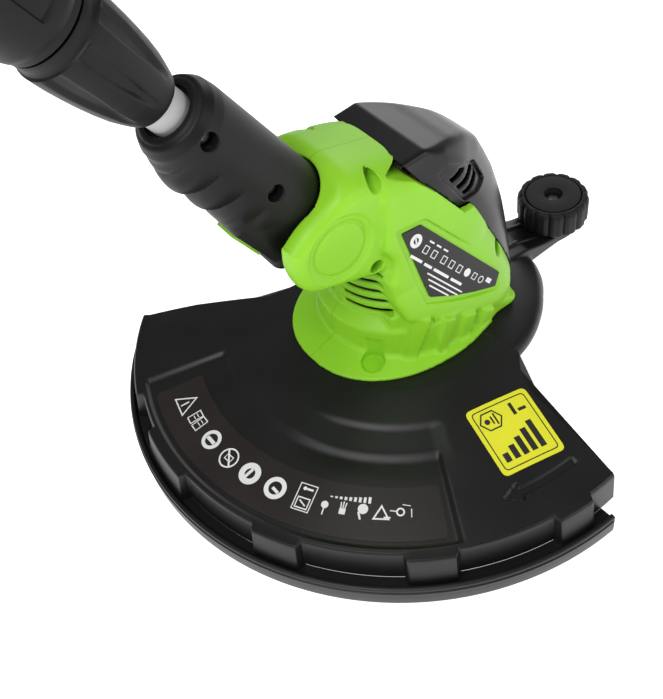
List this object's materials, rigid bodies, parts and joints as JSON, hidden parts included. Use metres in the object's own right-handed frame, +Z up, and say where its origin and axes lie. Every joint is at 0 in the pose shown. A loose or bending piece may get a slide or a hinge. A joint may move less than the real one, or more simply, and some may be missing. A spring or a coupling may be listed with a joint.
{
  "type": "string trimmer",
  "caption": "Electric string trimmer with a tilting motor head, line spool, guard and edge wheel on a telescopic shaft with a looped front handle and a trigger grip.",
  "frame": {"origin": "centre of the underside of the spool's bump button, the lowest point of the cutting head", "axes": "+Z up along the motor axis; the shaft leans back towards -X in the plane Y = 0; the edge wheel is at +X"},
  "size_m": [0.6684, 0.2803, 0.842],
  "materials": {
    "lime_plastic": "satin moulded plastic",
    "black_plastic": "fine-textured moulded plastic",
    "gloss_black": "semi-gloss moulded plastic",
    "dark_label": "printed film",
    "yellow_label": "printed film",
    "pale_tube": "smooth pale enamel",
    "dark_tube": "black enamel",
    "zinc_steel": "zinc-plated",
    "laminated_steel": "stacked laminations",
    "copper": "enamelled copper",
    "brass": "plain",
    "carbon": "pressed carbon",
    "nylon_line": "extruded nylon"
  },
  "bodies": {
    "upper": {"outer_sleeve": "black_plastic", "outer_tube": "dark_tube", "collet": "black_plastic", "coiled_lead": "black_plastic", "handle_clamp": "black_plastic", "clamp_bolt": "zinc_steel", "rear_left": "black_plastic", "rear_right": "black_plastic", "rear_screws": "zinc_steel", "trigger_spring": "zinc_steel", "power_switch": "black_plastic", "cord_gland": "black_plastic"},
    "slider": {"guide_bush": "black_plastic"},
    "lower_shaft": {"inner_tube": "pale_tube", "arm_left": "black_plastic", "arm_right": "black_plastic", "arm_screws": "zinc_steel", "tilt_spring": "zinc_steel"},
    "head": {"housing_left": "lime_plastic", "housing_right": "lime_plastic", "top_cover": "gloss_black", "base_plate": "black_plastic", "housing_screws": "zinc_steel", "rating_plate": "dark_label", "stator": "laminated_steel", "field_coils": "copper", "brush_holders": "brass", "carbon_brushes": "carbon", "upper_bearing": "zinc_steel", "lower_bearing": "zinc_steel", "guard": "gloss_black", "guard_rim": "gloss_black", "wheel_bracket": "gloss_black", "guard_screws": "zinc_steel", "line_cutter": "zinc_steel", "cutter_screws": "zinc_steel", "guard_label": "dark_label", "power_label": "yellow_label", "wheel_axle": "zinc_steel", "pivot_pin": "zinc_steel"},
    "cutting_head": {"motor_shaft": "zinc_steel", "armature": "laminated_steel", "commutator": "copper", "cooling_fan": "black_plastic", "spool_housing": "black_plastic", "line_eyelets": "zinc_steel", "cutting_line": "nylon_line", "spool_cap": "black_plastic", "bump_spring": "zinc_steel"},
    "spool": {"spool": "black_plastic", "wound_line": "nylon_line"},
    "bump_button": {"bump_button": "lime_plastic"},
    "edge_wheel": {"edge_wheel": "black_plastic", "wheel_cap": "black_plastic"},
    "tilt_button": {"tilt_button": "lime_plastic"},
    "lock_collar": {"lock_collar": "black_plastic"},
    "front_handle": {"front_handle": "black_plastic"},
    "clamp_knob": {"clamp_knob": "lime_plastic"},
    "trigger": {"trigger": "lime_plastic"},
    "lock_button": {"lock_button": "lime_plastic"}
  },
  "joints": [
    {"name": "shaft_extend", "type": "slide", "parent": "upper", "child": "slider", "axis": [0.5299, 0, -0.848], "range_m": [0, 0.2]},
    {"name": "shaft_turn", "type": "hinge", "parent": "slider", "child": "lower_shaft", "pos_m": [-0.05, 0, 0.146], "axis": [-0.5299, 0, 0.848], "range_deg": [0, 180]},
    {"name": "head_tilt", "type": "hinge", "parent": "lower_shaft", "child": "head", "pos_m": [-0.05, 0, 0.146], "axis": [0, 1, 0], "range_deg": [0, 45]},
    {"name": "head_spin", "type": "hinge", "parent": "head", "child": "cutting_head", "pos_m": [0, 0, 0.02], "axis": [0, 0, 1], "continuous": true},
    {"name": "spool_feed", "type": "hinge", "parent": "cutting_head", "child": "spool", "pos_m": [0, 0, 0.02], "axis": [0, 0, 1], "continuous": true},
    {"name": "bump_press", "type": "slide", "parent": "cutting_head", "child": "bump_button", "axis": [0, 0, 1], "range_m": [0, 0.004], "stiffness_N_per_m": 1200, "springref_m": -0.002, "deforming": ["bump_spring"]},
    {"name": "wheel_turn", "type": "hinge", "parent": "head", "child": "edge_wheel", "pos_m": [0.118, 0, 0.05], "axis": [0, 0, 1], "continuous": true},
    {"name": "tilt_press", "type": "slide", "parent": "lower_shaft", "child": "tilt_button", "axis": [0.848, 0, 0.5299], "range_m": [0, 0.003], "stiffness_N_per_m": 1200, "springref_m": -0.002, "deforming": ["tilt_spring"]},
    {"name": "collar_twist", "type": "hinge", "parent": "upper", "child": "lock_collar", "pos_m": [-0.12419, 0, 0.26473], "axis": [-0.5299, 0, 0.848], "range_deg": [0, 90]},
    {"name": "front_handle_tilt", "type": "hinge", "parent": "upper", "child": "front_handle", "pos_m": [-0.27616, 0, 0.55889], "axis": [0, 1, 0], "range_deg": [-35, 35]},
    {"name": "knob_turn", "type": "hinge", "parent": "upper", "child": "clamp_knob", "pos_m": [-0.27616, 0, 0.55889], "axis": [0, 1, 0], "range_deg": [0, 360]},
    {"name": "trigger_pull", "type": "hinge", "parent": "upper", "child": "trigger", "pos_m": [-0.44204, 0, 0.73942], "axis": [0, -1, 0], "range_deg": [0, 10], "stiffness_Nm_per_rad": 0.5, "springref_deg": -8.59, "deforming": ["trigger_spring"]},
    {"name": "lock_press", "type": "slide", "parent": "upper", "child": "lock_button", "axis": [-0.848, 0, -0.5299], "range_m": [0, 0.004], "stiffness_N_per_m": 800, "springref_m": -0.002}
  ]
}
